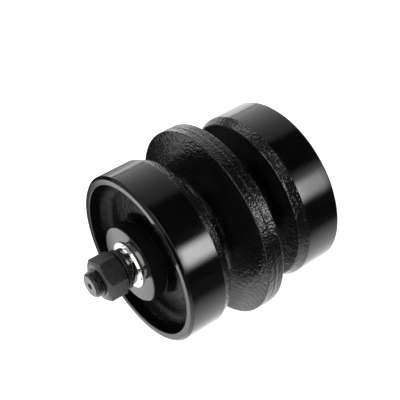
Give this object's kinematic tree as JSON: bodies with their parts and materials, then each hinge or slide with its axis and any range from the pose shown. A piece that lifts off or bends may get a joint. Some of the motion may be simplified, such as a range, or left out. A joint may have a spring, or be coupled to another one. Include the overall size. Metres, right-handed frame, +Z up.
{
  "type": "track roller",
  "caption": "Track roller with a centre flange and recessed ends, on a fixed axle with end collars, spacers, a heavy nut and a thin nut.",
  "frame": {"origin": "middle of the roller, on the axle's axis", "axes": "+Y along the axle towards the right end, +Z up, +X to the front"},
  "size_m": [0.203, 0.2731, 0.203],
  "materials": {
    "body_paint": "gloss black paint over machined treads and rough casting",
    "collar_paint": "gloss black paint over a machined face",
    "axle_steel": "ground journal, black oxide studs",
    "bare_steel": "bright turned steel",
    "black_hardware": "black oxide, oily satin",
    "bushing_bronze": "turned bronze",
    "plug_brass": "plain brass",
    "seal_iron": "lapped face, cast barrel",
    "seal_rubber": "nitrile rubber",
    "pin_steel": "phosphated spring steel"
  },
  "bodies": {
    "axle": {"axle_shaft": "axle_steel", "oil_plug": "plug_brass", "fixed_seal_ring_left": "seal_iron", "fixed_toric_left": "seal_rubber", "end_collar_left": "collar_paint", "axle_o_ring_left": "seal_rubber", "collar_pin_left": "pin_steel", "frame_spacer_left": "bare_steel", "fixed_seal_ring_right": "seal_iron", "fixed_toric_right": "seal_rubber", "end_collar_right": "collar_paint", "axle_o_ring_right": "seal_rubber", "collar_pin_right": "pin_steel", "frame_spacer_right": "bare_steel", "lock_washer_left": "black_hardware", "hex_nut_left": "black_hardware", "thin_nut_right": "black_hardware"},
    "roller": {"roller_body": "body_paint", "bushing_left": "bushing_bronze", "bushing_right": "bushing_bronze", "turning_seal_ring_left": "seal_iron", "turning_seal_ring_right": "seal_iron", "turning_toric_left": "seal_rubber", "turning_toric_right": "seal_rubber"}
  },
  "joints": [
    {"name": "roller_spin", "type": "hinge", "parent": "axle", "child": "roller", "pos_m": [0, 0, 0], "axis": [0, 1, 0], "continuous": true}
  ]
}
